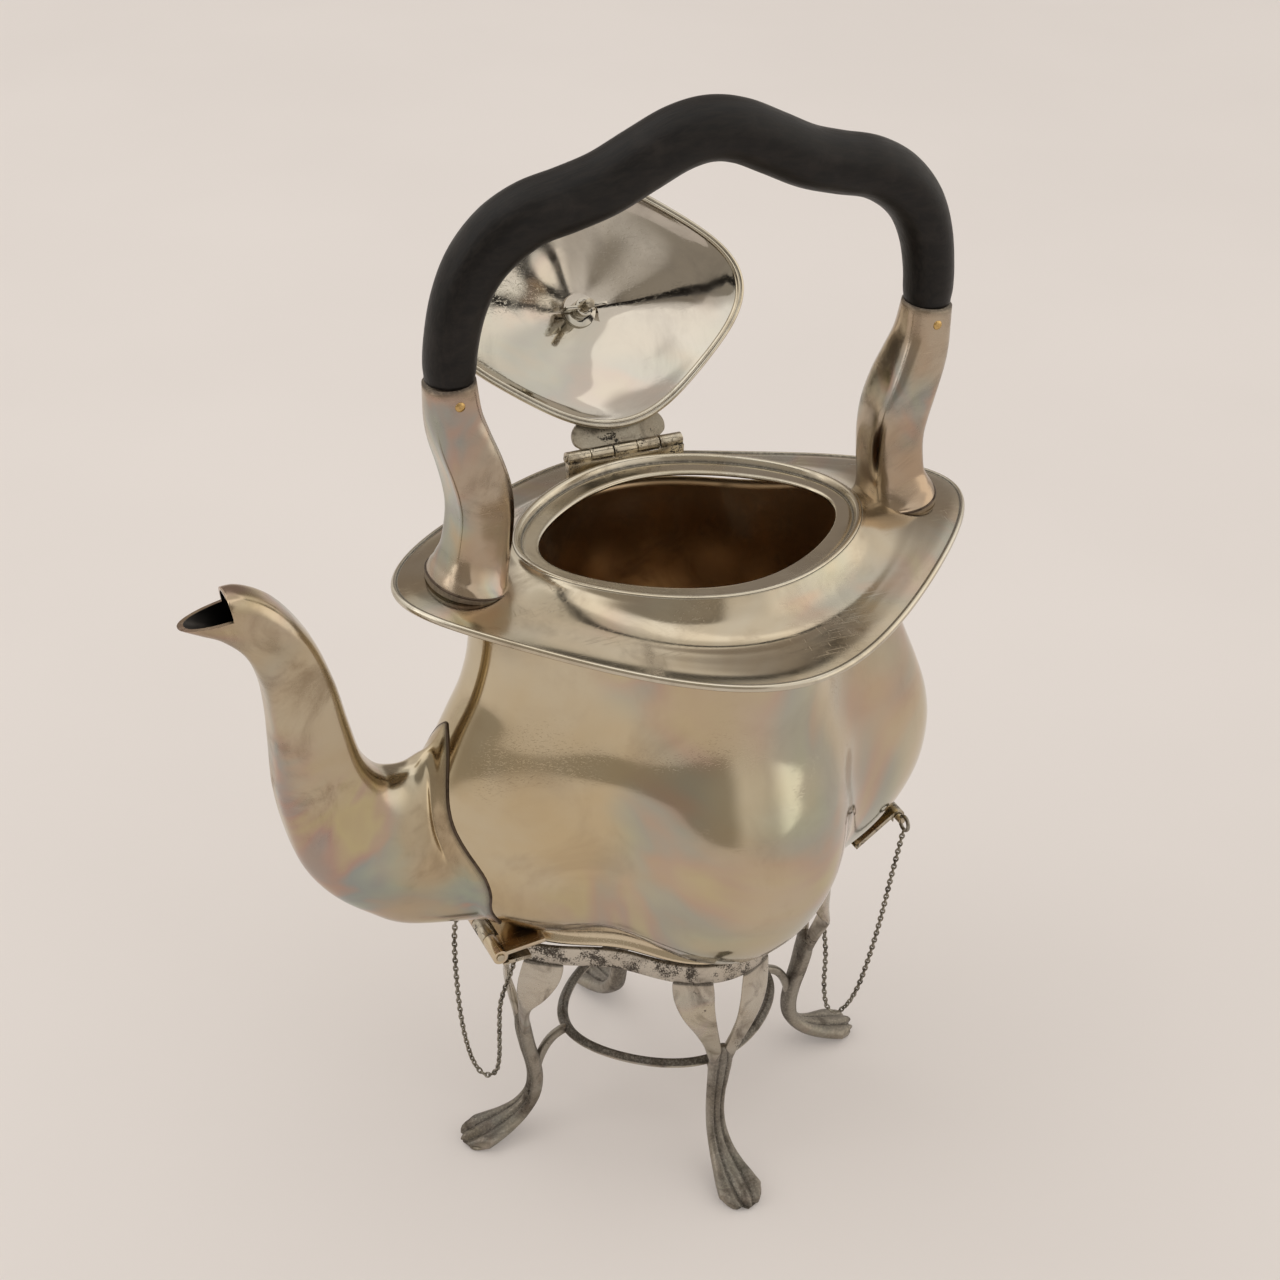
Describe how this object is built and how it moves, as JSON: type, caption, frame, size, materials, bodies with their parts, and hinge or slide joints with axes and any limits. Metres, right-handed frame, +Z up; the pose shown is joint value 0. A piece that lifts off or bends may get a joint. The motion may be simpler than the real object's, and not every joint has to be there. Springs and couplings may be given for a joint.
{
  "type": "spirit kettle on stand",
  "caption": "Lobed silver spirit kettle with overhead black grip, S-shaped spout and hinged lid, tilting on a four-legged stand with drop pins on chains.",
  "frame": {"origin": "on the table, midway between the stand's four feet", "axes": "+Z up, -X towards the spout, -Y is the side away from the lid's hinge"},
  "size_m": [0.2097, 0.1461, 0.2992],
  "materials": {
    "tarnished_silver": "polished sheet silver with warm golden-brown tarnish and faint iridescent patches",
    "gilded_silver": "polished, yellowed",
    "bright_silver": "polished, lightly tarnished",
    "hinge_silver": "worn, dark in the joints",
    "black_wood": "ebonised wood, satin",
    "rivet_brass": "worn",
    "stand_silver": "cast silver, speckled dark with oxide",
    "chain_silver": "dark oxidised wire links"
  },
  "bodies": {
    "stand": {"stand_band": "stand_silver", "near_leg": "stand_silver", "far_leg": "stand_silver", "front_leg": "stand_silver", "rear_leg": "stand_silver", "stretcher_ring": "stand_silver", "stand_front_leaf": "hinge_silver", "stand_rear_leaf": "hinge_silver", "front_chain_staple": "stand_silver", "rear_chain_staple": "stand_silver", "front_chain": "chain_silver", "rear_chain": "chain_silver"},
    "kettle": {"kettle_body": "tarnished_silver", "kettle_base": "tarnished_silver", "foot_band": "gilded_silver", "shoulder": "tarnished_silver", "shoulder_edge": "tarnished_silver", "neck_rim": "tarnished_silver", "spout": "tarnished_silver", "spout_strainer": "bright_silver", "front_handle_socket": "tarnished_silver", "rear_handle_socket": "tarnished_silver", "handle_grip": "black_wood", "front_grip_rivet": "rivet_brass", "rear_grip_rivet": "rivet_brass", "body_hinge_leaf": "hinge_silver", "lid_hinge_pin": "hinge_silver", "kettle_front_leaf": "gilded_silver", "kettle_rear_leaf": "hinge_silver"},
    "lid": {"lid_shell": "bright_silver", "lid_bezel": "bright_silver", "lid_hinge_leaf": "hinge_silver", "finial_knob": "bright_silver", "finial_washer": "bright_silver", "finial_bolt": "hinge_silver", "finial_wing_nut": "bright_silver"},
    "front_pin": {"front_pin": "hinge_silver", "front_pin_ring": "hinge_silver"},
    "rear_pin": {"rear_pin": "hinge_silver", "rear_pin_ring": "hinge_silver"}
  },
  "joints": [
    {"name": "kettle_tilt", "type": "hinge", "parent": "stand", "child": "kettle", "pos_m": [-0.0564, 0, 0.0758], "axis": [0, -1, 0], "range_deg": [0, 45]},
    {"name": "lid_hinge", "type": "hinge", "parent": "kettle", "child": "lid", "pos_m": [0, 0.0397, 0.192], "axis": [1, 0, 0], "range_deg": [0, 125]},
    {"name": "front_pin_pull", "type": "slide", "parent": "stand", "child": "front_pin", "axis": [0, 1, 0], "range_m": [0, 0.027]},
    {"name": "rear_pin_pull", "type": "slide", "parent": "stand", "child": "rear_pin", "axis": [0, -1, 0], "range_m": [0, 0.027]}
  ]
}
